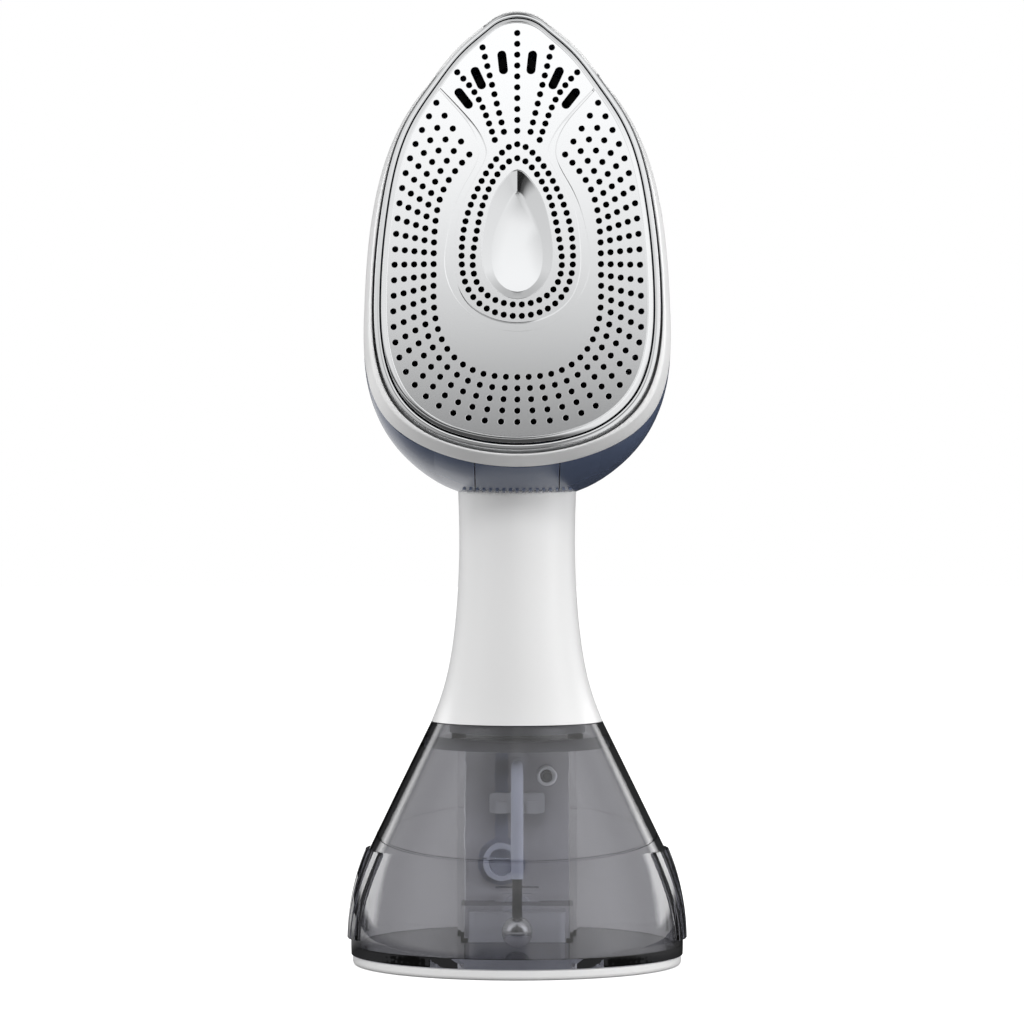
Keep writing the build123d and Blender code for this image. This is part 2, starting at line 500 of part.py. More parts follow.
def build_handle_inside():
    """Pump, control board, switches and buttons."""
    pump = z_rod(PUMP_R, 0, PUMP_Y, PUMP_Z, PUMP_Z + PUMP_L)
    pump -= z_rod(PISTON_R + RUN_FIT, 0, PUMP_Y, PUMP_Z, PUMP_Z + PISTON_L / 2 + 3)
    pump += z_rod(HOSE_R - 0.8, 0, PUMP_Y, PUMP_Z + PUMP_L, PUMP_Z + PUMP_L + 4)
    put("pump_body", pump)
    coil = z_rod(COIL_R, 0, PUMP_Y, COIL_Z, COIL_Z + COIL_L)
    put("pump_coil", coil - z_rod(PUMP_R + RUN_FIT, 0, PUMP_Y, 0, 2 * FAR))
    put("pump_piston", z_rod(PISTON_R, 0, PUMP_Y, PUMP_Z - PISTON_L / 2, PUMP_Z + PISTON_L / 2))
    board = slab(BOARD_W / 2, BOARD_Y, BOARD_Y + BOARD_T, BOARD_Z, BOARD_Z + BOARD_L)
    for z in (POWER_Z + 8, MODE_Z - 9):
        board += slab(4, BOARD_Y - 2.5, BOARD_Y, z - 3, z + 3)
    put("control_board", board)
    switches = []
    for name, z, face_y in (("power_button", POWER_Z, 11.7), ("steam_button", MODE_Z, 14.2)):
        top = BOARD_Y + BOARD_T + SWITCH_H
        switch = slab(SWITCH_W / 2, BOARD_Y + BOARD_T, top, z - SWITCH_W / 2, z + SWITCH_W / 2)
        switches.append(switch - y_rod(STEM_PIN_R + RUN_FIT, 0, z, top - 2.2, FAR))
        cap = y_rod(BUTTON_R, 0, z, top + BUTTON_TRAVEL + FIT, face_y + BUTTON_PROUD)
        put(name, cap + y_rod(STEM_PIN_R, 0, z, top - 1, top + BUTTON_TRAVEL + FIT))
    put("button_switches", Compound(switches))
    start = SPINE_Y + WALL + 4
    route = [(0, start, PORT_Z), (0, start + 6, PORT_Z), (0, start + 2, HANDLE_BOTTOM + 2),
             (0, start - 8, (HANDLE_BOTTOM + PUMP_Z) / 2 + 3), (0, 11, PUMP_Z + 2.6), (0, PUMP_Y + PUMP_R + 0.2, PUMP_Z + 2.6)]
    put("suction_hose", tube(HOSE_R, route, 5))
    inlet = on_head(Pos(0, INLET_V, -INLET_BACK)).position
    turn_z = inlet.Z - (PUMP_Y - inlet.Y) * tan(radians(HEAD_TILT))
    route = [inlet, (0, PUMP_Y, turn_z), (0, PUMP_Y, PUMP_Z + PUMP_L + 4)]
    put("pressure_hose", tube(HOSE_R, route, 8))


def build_head():
    put("soleplate", on_head(soleplate()))
    put("trim_ring", on_head(trim_ring()))
    put("bezel", on_head(bezel()))
    g = PLATE_T
    chamber_front = g + GASKET_T
    chamber_back = chamber_front + CHAMBER_T
    outer = egg(CHAMBER_HALF_W, CHAMBER_HEEL, CHAMBER_NOSE)
    inner = egg(CHAMBER_HALF_W - CHAMBER_WALL, CHAMBER_HEEL - CHAMBER_WALL, CHAMBER_NOSE - CHAMBER_WALL)
    ring = outer - inner
    put("chamber_gasket", on_head(extrude(Pos(0, 0, -chamber_front) * ring, GASKET_T, dir=(0, 0, 1))))
    chamber = extrude(Pos(0, 0, -chamber_back) * outer, CHAMBER_T, dir=(0, 0, 1))
    cavity = extrude(Pos(0, 0, -chamber_front - CHAMBER_CAVITY) * inner, CHAMBER_CAVITY, dir=(0, 0, 1))
    for k in range(5):  # labyrinth walls, open at alternate ends
        side = 1 if k % 2 else -1
        wall_v = -CHAMBER_HEEL + 16 + 17 * k
        cavity -= Pos(side * 8, wall_v, -chamber_front - CHAMBER_CAVITY / 2) * Box(
            2 * CHAMBER_HALF_W, 2.5, CHAMBER_CAVITY - 1.5)
    chamber -= cavity
    put("steam_chamber", on_head(chamber))

    depth = chamber_back + ELEMENT_R
    heel, nose, x = ELEMENT_HEEL, ELEMENT_NOSE, ELEMENT_HALF_W
    path = Wire([Line((-x, heel, -depth), (-x, nose, -depth)),
                 ThreePointArc((-x, nose, -depth), (0, nose + x, -depth), (x, nose, -depth)),
                 Line((x, nose, -depth), (x, heel, -depth))])
    element = sweep(Plane((-x, heel, -depth), z_dir=(0, 1, 0)) * Circle(ELEMENT_R), path)
    put("heating_element", on_head(element))
    stat = Pos(0, 4, -chamber_back - 3) * Cylinder(7.5, 6)
    stat += Pos(0, 4, -chamber_back - 7) * Box(9, 4, 2)
    put("thermostat", on_head(stat))
    put("thermal_fuse", on_head(Pos(0, -14, -chamber_back - 2) * Rot(0, 90, 0) * Cylinder(2, 14)))
    inlet = Pos(0, INLET_V, -chamber_back - 4) * Cylinder(3.6, 8)
    put("water_inlet", on_head(inlet + Pos(0, INLET_V, -(INLET_BACK + chamber_back) / 2) * Cylinder(
        HOSE_R, INLET_BACK - chamber_back)))
    outer = egg(CHAMBER_HALF_W + 1, CHAMBER_HEEL - 4, CHAMBER_NOSE - 2)
    shield = extrude(Pos(0, 0, -SHIELD_BACK) * outer, SHIELD_T, dir=(0, 0, 1))
    shield -= Pos(0, 4, -SHIELD_BACK) * Cylinder(9, 8)
    shield -= Pos(0, INLET_V, -SHIELD_BACK) * Cylinder(5, 8)
    posts = [(0, CHAMBER_NOSE - 14), (-27, -24), (27, -24)]
    for px, pv in posts:
        post_l = SHIELD_BACK - SHIELD_T - chamber_back
        shield += Pos(px, pv, -chamber_back - post_l / 2) * Cylinder(2.5, post_l)
    put("heat_shield", on_head(shield))
    heads = [Pos(px, pv, -SHIELD_BACK - 1) * Cylinder(2.8, 2) for px, pv in posts]
    put("shield_screws", on_head(Compound(heads)))
    build_casing()


def build_casing():
    outside = on_head(casing_solid(0))
    casing = outside - on_head(casing_solid(WALL))
    room = TRIGGER_W / 2 + FIT
    frame = slab(room + EAR_T, TRIGGER_PIN_Y - 5, SPRING_Y + 3, PAD_Z - 12, SPRING_TOP + 2)
    frame -= slab(room, -FAR, FAR, PAD_Z - 12, SPRING_TOP)
    casing += frame & outside & behind_bezel()
    casing += trigger_teeth() - slab(room, -FAR, FAR, 0, 3 * FAR)
    casing -= handle_solid(-FIT / 3)
    casing -= slab(room, -FAR, HANDLE_SPLIT_Y, PAD_Z - 12, TRIGGER_PIN_Z + 4) & behind_bezel()
    casing -= x_rod(TRIGGER_PIN_R + PRESS_FIT, TRIGGER_PIN_Y, TRIGGER_PIN_Z, room + EAR_T)
    put("head_casing", casing)


def behind_bezel(gap=0.0):
    """Everything of the head that lies behind the guard."""
    return on_head(Pos(0, 0, -BEZEL_BACK - FIT - gap - 20) * Box(2 * FAR, 3 * FAR, 40))


def trigger_teeth():
    """Row of small teeth under the head, along the front of the handle."""
    row = [Pos(TEETH_PITCH * (k - (TEETH - 1) / 2), -FAR / 4, PAD_Z) * Box(TOOTH_W, FAR / 2, 24) for k in range(TEETH)]
    band = handle_solid(-TEETH_DEEP) - handle_solid(-TRIGGER_SWING)
    proud = on_head(casing_solid(-TOOTH_H)) - on_head(casing_solid(WALL / 2))
    return proud & band & Compound(row)


def x_rod(r, y, z, half_l):
    """Round rod along X, centred on X = 0."""
    return Pos(0, y, z) * Rot(0, 90, 0) * Cylinder(r, 2 * half_l)


def build_trigger():
    """Trigger flush under the head, its pin, its return spring and the switch that it works."""
    py, pz = TRIGGER_PIN_Y, TRIGGER_PIN_Z
    profile = Polyline((py - 6.4, pz + 0.4), (py - 6.4, PAD_Z - 12), (TRIGGER_BACK_Y, PAD_Z - 12), (TRIGGER_BACK_Y, PAD_Z - 3),
                       (SPRING_Y + SPRING_R - 0.2, PAD_Z), (SPRING_Y - SPRING_R - 1.6, PAD_Z),
                       (py + 2, pz - HUB_R), (py - 2, pz - 1.4), close=True)
    body = extrude(Plane.YZ * make_face(profile), TRIGGER_W / 2, both=True)
    body += x_rod(HUB_R, py, pz, TRIGGER_W / 2)
    body = body & on_head(casing_solid(0)) & behind_bezel(FIT)
    body += trigger_teeth() & slab(TRIGGER_W / 2, -FAR, FAR, 0, 3 * FAR)
    body -= handle_solid(-TRIGGER_SWING)
    put("trigger", body - x_rod(TRIGGER_PIN_R + RUN_FIT, py, pz, FAR))
    put("trigger_pin", x_rod(TRIGGER_PIN_R, py, pz, TRIGGER_W / 2 + FIT + EAR_T))
    height = SPRING_TOP - PAD_Z - 2 * SPRING_WIRE
    turns = Helix(pitch=height / SPRING_TURNS, height=height, radius=SPRING_R - SPRING_WIRE)
    coil = sweep(Plane(turns @ 0, z_dir=turns % 0) * Circle(SPRING_WIRE), turns)
    put("trigger_spring", Pos(0, SPRING_Y, PAD_Z + SPRING_WIRE) * coil)
    low = SPRING_TOP - SWITCH_BODY_H
    switch = Pos(SWITCH_X, 0, 0) * slab(SWITCH_W_X / 2, SPRING_Y - SWITCH_W_Y / 2, SPRING_Y + SWITCH_W_Y / 2,
                                        low, SPRING_TOP)
    put("micro_switch", switch - z_rod(PLUNGER_R + RUN_FIT, SWITCH_X, SPRING_Y, low, low + 2 * PLUNGER_IN))
    put("switch_plunger", z_rod(PLUNGER_R, SWITCH_X, SPRING_Y, PAD_Z + PLUNGER_GAP, low + PLUNGER_IN))


build_tank()
build_stand()
build_body()
build_handle_inside()
build_head()
build_trigger()

os.makedirs("parts", exist_ok=True)
for name, shape in ALL.items():
    shape.label = name
    export_step(shape, "parts/" + name + ".step")
    print(name, len(shape.solids()), round(shape.volume))
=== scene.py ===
"""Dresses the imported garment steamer: moulded, stamped and clear pieces, their finishes, and a studio."""

import math

import bmesh
import bpy
from mathutils import Matrix, Vector


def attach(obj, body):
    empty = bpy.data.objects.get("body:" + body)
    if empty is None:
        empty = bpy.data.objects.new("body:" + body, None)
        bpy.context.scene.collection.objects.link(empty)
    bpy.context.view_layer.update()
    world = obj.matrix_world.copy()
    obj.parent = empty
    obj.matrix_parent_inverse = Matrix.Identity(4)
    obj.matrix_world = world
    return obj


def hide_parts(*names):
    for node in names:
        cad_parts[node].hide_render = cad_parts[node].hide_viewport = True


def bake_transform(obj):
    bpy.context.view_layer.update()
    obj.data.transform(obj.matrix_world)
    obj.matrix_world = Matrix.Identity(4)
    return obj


bl_info = {
    "name": "Garment steamer",
    "version": (1, 0, 0),
    "blender": (4, 5, 0),
    "location": "View3D > Sidebar > Steamer",
    "description": "Dresses a handheld garment steamer piece by piece",
    "category": "Object",
}

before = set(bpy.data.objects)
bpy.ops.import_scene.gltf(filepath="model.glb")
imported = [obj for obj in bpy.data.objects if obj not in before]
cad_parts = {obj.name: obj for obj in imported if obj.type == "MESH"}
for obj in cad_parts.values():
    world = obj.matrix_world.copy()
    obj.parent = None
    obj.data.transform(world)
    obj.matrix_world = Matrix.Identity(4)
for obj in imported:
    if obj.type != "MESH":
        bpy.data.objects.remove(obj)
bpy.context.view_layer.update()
MM = 0.001
QUARTER = math.radians(90)

# ------------------------------------------------------------------ head (millimetres)
# On the plate, points are (x, v): x to the right, v up towards the nose. Depth is behind the plate's face.
HEAD_TILT = math.radians(13.0)                      # the plate leans back
HEAD_ORIGIN = Vector((0, -38.7, 218.1)) * MM        # where x, v and depth are 0
PLATE_HALF_W, PLATE_HEEL, PLATE_TIP = 41.6, 56.6, 79.1      # reach to the sides, the heel and the nose
HEEL_RADIUS, NOSE_RADIUS = 1.45, 0.29               # radii of the end arcs, as shares of the half width
HEEL_STEP, NOSE_TURN = math.radians(2), math.radians(44)    # one step of the heel arc; the whole nose arc
# Shares of the half width and of the height.
PLATE_SIDES = [(0.842, 0.108), (0.973, 0.2138), (1.0, 0.3325), (0.950, 0.548), (0.776, 0.7497),
               (0.590, 0.8418), (0.424, 0.9111), (0.310, 0.9458)]
GUARD_SIDES = [(0.866, 0.109), (0.988, 0.216), (1.0, 0.336), (0.950, 0.554), (0.760, 0.757),
               (0.462, 0.884), (0.275, 0.944)]
SIDE_POINTS, OUTLINE_POINTS = 160, 240

PLATE_THICK, EDGE_ROLL = 1.2, 0.12                  # stamped sheet and the radius of its cut edges
RIM_TUCK, RIM_TUCK_DEPTH = 0.1, 0.05                # how far the rim runs in under the face
RIM_DROP, RIM_BACK = 0.8, 2.4                       # depth of the rolled rim per width; depth of its skirt
LANE_IN = [(0, -36.2), (10.5, -35.1), (19.3, -29.8), (24.0, -21.5), (25.5, -5.0), (25.2, 10.7),
           (22.6, 23.2), (14.7, 34.5)]
LANE_OUT = [(0, -50.2), (15.9, -48.6), (28.4, -41.5), (36.2, -28.7), (37.6, -10.1), (36.9, 10.5),
            (32.1, 35.6), (24.9, 51.2)]
ROWS, LANES = 27, 5                                 # holes along and across each half of the U-shaped field
RING_OUT = [(0, 37.8), (6.7, 32.7), (12.2, 23.3), (15.8, 13.2), (17.0, 2.5), (16.1, -5.5), (12.1, -12.5),
            (0, -17.0)]
RING_IN = [(0, 33.3), (6.3, 27.8), (10.7, 17.9), (12.8, 7.4), (13.6, -0.6), (11.2, -8.3), (0, -13.4)]
RING_OUT_HOLES, RING_IN_HOLES = 51, 43
FAN = [[(0, 73.9), (0, 42.1)], [(10.7, 69.2), (4.1, 41.8)],
       [(18.5, 61.1), (13.3, 54.8), (9.6, 47.1), (6.9, 39.2)]]
FAN_HOLES = 10
SLOTS = [(4.5, 64.3, 84.0), (12.0, 59.2, 66.0), (16.5, 52.6, 53.0)]     # x, v, degrees
SLOT_LENGTH, SLOT_WIDTH = 7.6, 2.7
RIBBON_IN = [(23.7, 56.3), (17.0, 49.0), (9.9, 38.5), (9.2, 35.1), (10.5, 31.1), (13.4, 25.6), (17.5, 16.4),
             (18.9, 7.2), (19.1, -0.7), (15.5, -11.9), (10.5, -16.1), (4.3, -18.4), (0, -18.8)]
RIBBON_OUT = [(24.4, 55.5), (19.9, 50.3), (13.1, 40.4), (12.1, 34.8), (13.1, 31.1), (16.3, 25.0),
              (19.8, 16.4), (21.8, 7.2), (22.4, -0.7), (18.6, -11.9), (13.0, -17.7), (7.4, -20.9),
              (0, -22.2)]
RIBBON_POINTS, RIBBON_STEEPNESS = 180, 0.8
RIBBON_LIP = [(-0.12, 0.02), (0.1, 0.1)]            # step in from a side, depth
RIBBON_WALL, RIBBON_SHARE = 0.5, 3.4                # widest wall; how many walls fit in the width
RIBBON_EASE = 0.06                                  # flat strip at the foot of a wall
TEAR_RIM = [(0, 29.7), (4.0, 26.6), (7.5, 20.7), (9.8, 12.1), (10.7, 1.5), (9.2, -4.9), (5.1, -9.8),
            (0, -11.6)]
TEAR_FLOOR = [(0, 23.0), (2.8, 19.3), (6.3, 11.3), (7.7, 0.9), (6.3, -4.7), (3.4, -7.9), (0, -9.0)]
TEAR_POINTS = 72
# Shares of the way from the rim to the floor, and of the depth there.
TEAR_WALL = [(-0.02, 0.01), (0.05, 0.03), (0.12, 0.1), (0.88, 0.93), (0.96, 0.99), (1.0, 1.0)]
DISH_SHALLOW, DISH_DEEP = 1.0, 2.3                  # depth at the round end and at the point
DISH_START, DISH_LENGTH = -8.8, 31.9                # where the lean starts, and how far it runs

# Edges that turn more than this stay sharp.
SHEET_CREASE, DISH_CREASE, VENT_CREASE = math.radians(12), math.radians(11), math.radians(40)
FLAT = 0.999                                        # cosine between a face and the sheet's own direction

GUARD_LIP = [(2.75, 9.4), (2.75, 3.0), (2.85, 2.75), (3.1, 2.65)]       # grown by, depth
GUARD_FLARE = [(3.4, 2.9), (3.6, 3.4), (4.2, 5.3), (4.8, 7.3), (5.25, 8.8), (5.3, 9.2), (5.1, 9.45),
               (4.6, 9.5)]
GUARD_LIP_TIP, GUARD_FLARE_TIP = 78.95, 78.2
BEAD_INSIDE = (0.38, 6.8)                           # grown by, depth
# Centre grown by, its depth, radius, degrees.
BEAD_ARCS = [(0.63, 1.374, 0.25, range(-90, -4, 17)), (0.907, 5.314, 4.2, range(-4, 13, 4)),
             (1.73, 1.45, 0.25, range(16, 91, 15))]
BEAD_FLANGE = [(2.0, 5.6), (2.55, 5.8), (2.55, 6.8), (1.5, 6.9)]        # grown by, depth

# ------------------------------------------------------------------ vent in the tank (millimetres)
VENT_AT = Vector((9.4, 9.95, 58.0))
VENT_SIDES, VENT_AXIS = 48, 0.02                    # the axis is a hair-thin ring, so every row is a loop
VENT_COLLAR = [(2.2, 0.0), (2.2, 0.5), (2.35, 0.7), (2.7, 0.8), (3.05, 0.7), (3.2, 0.5), (3.2, -0.04)]
VENT_VALVE = [(0.0, 0.3), (0.7, 0.25), (0.9, 0.04), (1.2, 0.0), (1.4, 0.35), (1.7, 0.4), (1.95, 0.1),
              (1.95, -1.0), (0.0, -1.1)]            # radius, height over the wall

# ------------------------------------------------------------------ studio (metres)
FLOOR_REACH = 6
FLOOR_GLOW = 0.62
BEHIND, EDGE_ON = 0.41, 0.05     # backdrop through the tank's two walls; through solid edges and slabs
TWO_WALLS = (2.4, 3.6)           # surfaces crossed: two make an edge, four make two walls
# What a reflection sees over the sine of its elevation: (sine, grey).
FRONT = [(-0.25, 0.04), (0.08, 0.05), (0.2, 0.3), (0.38, 0.34), (0.44, 0.18), (0.457, 0.2), (0.471, 0.6),
         (0.485, 0.82), (0.5, 1.02), (0.53, 1.3), (0.61, 1.4), (0.68, 0.15), (0.88, 0.12), (0.95, 0.75)]
LEFT_NEAR = [(-0.25, 0.04), (0.08, 0.05), (0.2, 0.35), (0.4, 0.95), (0.6, 1.0), (0.9, 0.7)]
LEFT_FAR = [(-0.25, 0.04), (0.02, 0.1), (0.12, 0.9), (0.6, 1.0), (0.9, 0.7)]
RIGHT = [(-0.4, 0.4), (-0.1, 0.9), (0.2, 1.1), (0.6, 1.2), (0.9, 0.7)]
AMBIENT = [(-0.2, 0.38), (0.1, 0.52), (0.5, 0.78), (0.9, 0.85)]         # what lights the matt surfaces
# Where a view changes, on a direction of length 1: x to the right, y away from the camera, z up.
# A pair is where the change starts and ends; four numbers are a band that fades in and out.
TO_FLANKS, TO_RIGHT, TO_FAR_LEFT = (0.06, 0.14), (-0.05, 0.05), (-0.38, -0.46)
BACK_TO_FRONT, BACK_GREY = (0.72, 0.5), 0.04        # the back wall is dark in reflections
TO_BACKDROP, TO_BESIDE = (-0.3, 0.1), (-0.75, -0.5)
FACING, BESIDE = 0.1, 1.1        # light inside the clear walls, from the camera's side and from beside it
# Tall side strips that only the tank's lower flanks mirror: strength, band going away, band of height.
STRIP, STRIP_AWAY, STRIP_UP = 4.0, (0.2, 0.4, 0.66, 0.8), (0.05, 0.12, 0.28, 0.36)
# Cards on the floor, which only reflections see: brightness, and where each ends or fades.
FLOOR_GREY, NEAR_CARD, NEAR_FADE = 0.02, 0.06, (0.9, 0.4)
POOL, POOL_RING = 0.55, (0.45, 0.75, 1.3, 2.0)
CARDS_FRONT, CARD_RIGHT = (0.06, -0.04), (0.06, 0.16)
CARD_LEFT, CARD_BEHIND = (0.05, -0.04), (0.02, 0.2)
LIGHTS = [  # name, place, aimed at, width, height, watts
    ("right_softbox", (1.35, -0.4, 0.16), (0, 0, 0.14), 0.5, 0.6, 10),
    ("left_softbox", (-1.35, -0.35, 0.35), (0, 0, 0.13), 0.5, 0.8, 5.5),
    ("front_softbox", (0.1, -1.3, 1.05), (0, 0, 0.14), 0.9, 0.3, 6.5),
    ("top_softbox", (0.0, 0.1, 1.5), (0, 0, 0.1), 1.0, 1.0, 5),
]
CAMERA_X, CAMERA_DISTANCE, CAMERA_Z = -0.0016, 1.2, 0.142
VIEW_WIDTH, SENSOR_MM = 0.32256, 36.0               # width seen at the camera's distance; sensor width


# ------------------------------------------------------------------ shader helpers
def linear(code):
    """A hex sRGB colour as the linear values that the shaders take."""
    parts = [int(code[i:i + 2], 16) / 255 for i in (1, 3, 5)]
    return [c / 12.92 if c <= 0.04045 else ((c + 0.055) / 1.055) ** 2.4 for c in parts] + [1.0]


def add(tree, kind, settings=None, **sockets):
    """Adds a node. A socket is named with underscores, or i and its number, and takes a value or output."""
    node = tree.nodes.new(kind)
    for key, value in (settings or {}).items():
        setattr(node, key, value)
    for key, value in sockets.items():
        numbered = key[0] == "i" and key[1:].isdigit()
        target = node.inputs[int(key[1:]) if numbered else key.replace("_", " ")]
        if isinstance(value, bpy.types.NodeSocket):
            tree.links.new(value, target)
        else:
            target.default_value = value
    return node


def new_material(name):
    """An empty node material."""
    mat = bpy.data.materials.new(name)
    mat.use_nodes = True
    mat.node_tree.nodes.clear()
    return mat


def finish_material(mat, shader):
    """Joins the last shader to the material's surface."""
    add(mat.node_tree, "ShaderNodeOutputMaterial", Surface=shader)
    return mat


def grain(tree, size_mm, strength, distance_mm, stretch=(1, 1, 1)):
    """A fine bump on Object coordinates whose features are about size_mm across."""
    where = add(tree, "ShaderNodeTexCoord").outputs["Object"]
    where = add(tree, "ShaderNodeMapping", Vector=where, Scale=stretch).outputs["Vector"]
    noise = add(tree, "ShaderNodeTexNoise", Vector=where, Scale=1 / (size_mm * MM), Detail=3.0)
    bump = add(tree, "ShaderNodeBump", Strength=strength, Distance=distance_mm * MM,
               Height=noise.outputs["Fac"])
    return noise.outputs["Fac"], bump.outputs["Normal"]


def varied(tree, factor, low, high):
    """A value that follows a pattern between two limits."""
    return add(tree, "ShaderNodeMapRange", Value=factor, To_Min=low, To_Max=high).outputs["Result"]


def stepped(tree, value, start, end):
    """0 before start and 1 past end, in either direction."""
    return add(tree, "ShaderNodeMapRange", Value=value, From_Min=start, From_Max=end).outputs["Result"]


def combined(tree, how, *values):
    """Several values joined by one kind of sum."""
    total = values[0]
    for value in values[1:]:
        total = add(tree, "ShaderNodeMath", {"operation": how}, i0=total, i1=value).outputs["Value"]
    return total


def band(tree, value, fade):
    """1 inside a band and 0 outside: fade says where it starts, is full, still is full, and ends."""
    start, full, still, end = fade
    return combined(tree, "MULTIPLY", stepped(tree, value, start, full), stepped(tree, value, end, still))


def magnitude(tree, value):
    """A value without its sign."""
    return add(tree, "ShaderNodeMath", {"operation": "ABSOLUTE"}, i0=value).outputs["Value"]


def mixed(tree, factor, low, high):
    """A colour between two: a Mix node has its colours in sockets 6 and 7, and the result in 2."""
    return add(tree, "ShaderNodeMix", {"data_type": "RGBA"}, Factor=factor, i6=low, i7=high).outputs[2]


def per_ray(tree, path, shader, *others):
    """One shader for most rays, and another for each kind of ray named; the last kind named comes first."""
    for ray, seen in others:
        mix = add(tree, "ShaderNodeMixShader", i0=path[ray], i1=shader, i2=seen.outputs[0])
        shader = mix.outputs["Shader"]
    return shader


# ------------------------------------------------------------------ shape helpers (millimetres)
def smooth_line(points, count, closed=False):
    """Evenly spaced points on a natural cubic curve through the given ones."""
    lap, steps = 4, 12          # points repeated at each end of a closed curve; fine points in each span
    pts = [Vector((p[0], p[1])) for p in points]
    spans = range(lap, lap + len(pts)) if closed else range(len(pts) - 1)
    if closed:
        pts = pts[-lap:] + pts + pts[:lap + 1]
    gaps = [max((b - a).length, 1e-6) for a, b in zip(pts, pts[1:])]
    last = len(pts) - 1
    upper, right = [0.0] * (last + 1), [Vector((0, 0)) for _ in range(last + 1)]
    for i in range(1, last):
        turn = 6 * ((pts[i + 1] - pts[i]) / gaps[i] - (pts[i] - pts[i - 1]) / gaps[i - 1])
        pivot = 2 * (gaps[i - 1] + gaps[i]) - gaps[i - 1] * upper[i - 1]
        upper[i] = gaps[i] / pivot
        right[i] = (turn - gaps[i - 1] * right[i - 1]) / pivot
    bend = [Vector((0, 0)) for _ in range(last + 1)]
    for i in range(last - 1, 0, -1):
        bend[i] = right[i] - upper[i] * bend[i + 1]
    fine = []
    for i in spans:
        for k in range(steps):
            t = k / steps
            u, h = 1 - t, gaps[i]
            fine.append(pts[i] * u + pts[i + 1] * t
                        - h * h / 6 * ((u - u ** 3) * bend[i] + (t - t ** 3) * bend[i + 1]))
    fine.append(fine[0] if closed else pts[last])
    return even(fine, count, closed)


def even(fine, count, closed=False):
    """Picks evenly spaced points from a fine line."""
    run = [0.0]
    for a, b in zip(fine, fine[1:]):
        run.append(run[-1] + (b - a).length)
    parts = count if closed else count - 1
    picked, j = [], 0
    for k in range(count):
        goal = run[-1] * k / parts
        while j < len(run) - 2 and run[j + 1] < goal:
            j += 1
        t = (goal - run[j]) / max(run[j + 1] - run[j], 1e-9)
        picked.append(fine[j].lerp(fine[j + 1], min(max(t, 0), 1)))
    return picked


def mirrored(half):
    """A closed curve's points from its right half, which starts and ends on x = 0."""
    return list(half) + [(-x, v) for x, v in reversed(half[1:-1])]


def egg(grow, sides=PLATE_SIDES, tip=PLATE_TIP):
    """The soleplate's iron-shaped outline, grown by a margin: heel arc, sides, nose arc."""
    half_w, heel, nose = PLATE_HALF_W + grow, PLATE_HEEL + grow, tip + grow
    heel_r, nose_r = HEEL_RADIUS * half_w, NOSE_RADIUS * half_w
    arc = [Vector((heel_r * math.sin(a), heel_r * (1 - math.cos(a)) - heel))
           for a in (HEEL_STEP * k for k in range(11))]
    crown = [Vector((nose_r * math.sin(a), nose - nose_r * (1 - math.cos(a))))
             for a in (NOSE_TURN * (1 - k / 8) for k in range(9))]
    side = [Vector((x * half_w, t * (heel + nose) - heel)) for x, t in sides]
    # the ends of both arcs are drawn into the side's smooth line
    half = arc[:7] + smooth_line(arc[7:] + side + crown[:3], SIDE_POINTS) + crown[3:]
    return even(half + [Vector((-p.x, p.y)) for p in reversed(half[:-1])], OUTLINE_POINTS, True)


def loop(bm, points, closed=True):
    """A row of points joined by edges."""
    verts = [bm.verts.new(p) for p in points]
    ahead = verts[1:] + verts[:1] if closed else verts[1:]
    return [bm.edges.new(pair) for pair in zip(verts, ahead)]


def skin(bm, rows, closed=True):
    """Joins neighbouring rows of points with faces. Rows that share one plane would be joined crosswise."""
    loops = [loop(bm, row, closed) for row in rows]
    for a, b in zip(loops, loops[1:]):
        bmesh.ops.bridge_loops(bm, edges=a + b)
    return loops


def at_depth(points, depth):
    """Points of a flat outline, behind the plate's face by a depth."""
    return [(p[0], p[1], -depth) for p in points]


def grown(profile, **kind):
    """Outlines of the plate that follow a profile of margins and depths."""
    return [at_depth(egg(grow, **kind), depth) for grow, depth in profile]


def head_place():
    """Millimetres on the tilted plate (x, v, w) to metres in the row frame."""
    tilt = Matrix(((1, 0, 0), (0, math.sin(HEAD_TILT), -math.cos(HEAD_TILT)),
                   (0, math.cos(HEAD_TILT), math.sin(HEAD_TILT)))).to_4x4()
    return Matrix.Translation(HEAD_ORIGIN) @ tilt @ Matrix.Scale(MM, 4)


def piece(name, bm, finish, body, place=None, standing_for=(), slot=None):
    """Turns a bmesh in millimetres into a finished piece."""
    bmesh.ops.remove_doubles(bm, verts=bm.verts, dist=1e-4)
    bmesh.ops.recalc_face_normals(bm, faces=bm.faces)
    data = bpy.data.meshes.new(name)
    bm.to_mesh(data)
    bm.free()
    data.transform(place if place is not None else Matrix.Scale(MM, 4))
    return finished(name, data, finish, body, standing_for, slot)


def finished(name, data, finish, body, standing_for, slot):
    """An object that rides on a CAD body, or on none."""
    for poly in data.polygons:
        poly.use_smooth = True
    data.materials.append(FINISH[finish])
    obj = bpy.data.objects.new(name, data)
    bpy.context.scene.collection.objects.link(obj)
    if body:
        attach(obj, body)
    if standing_for:
        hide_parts(*standing_for)
    return obj


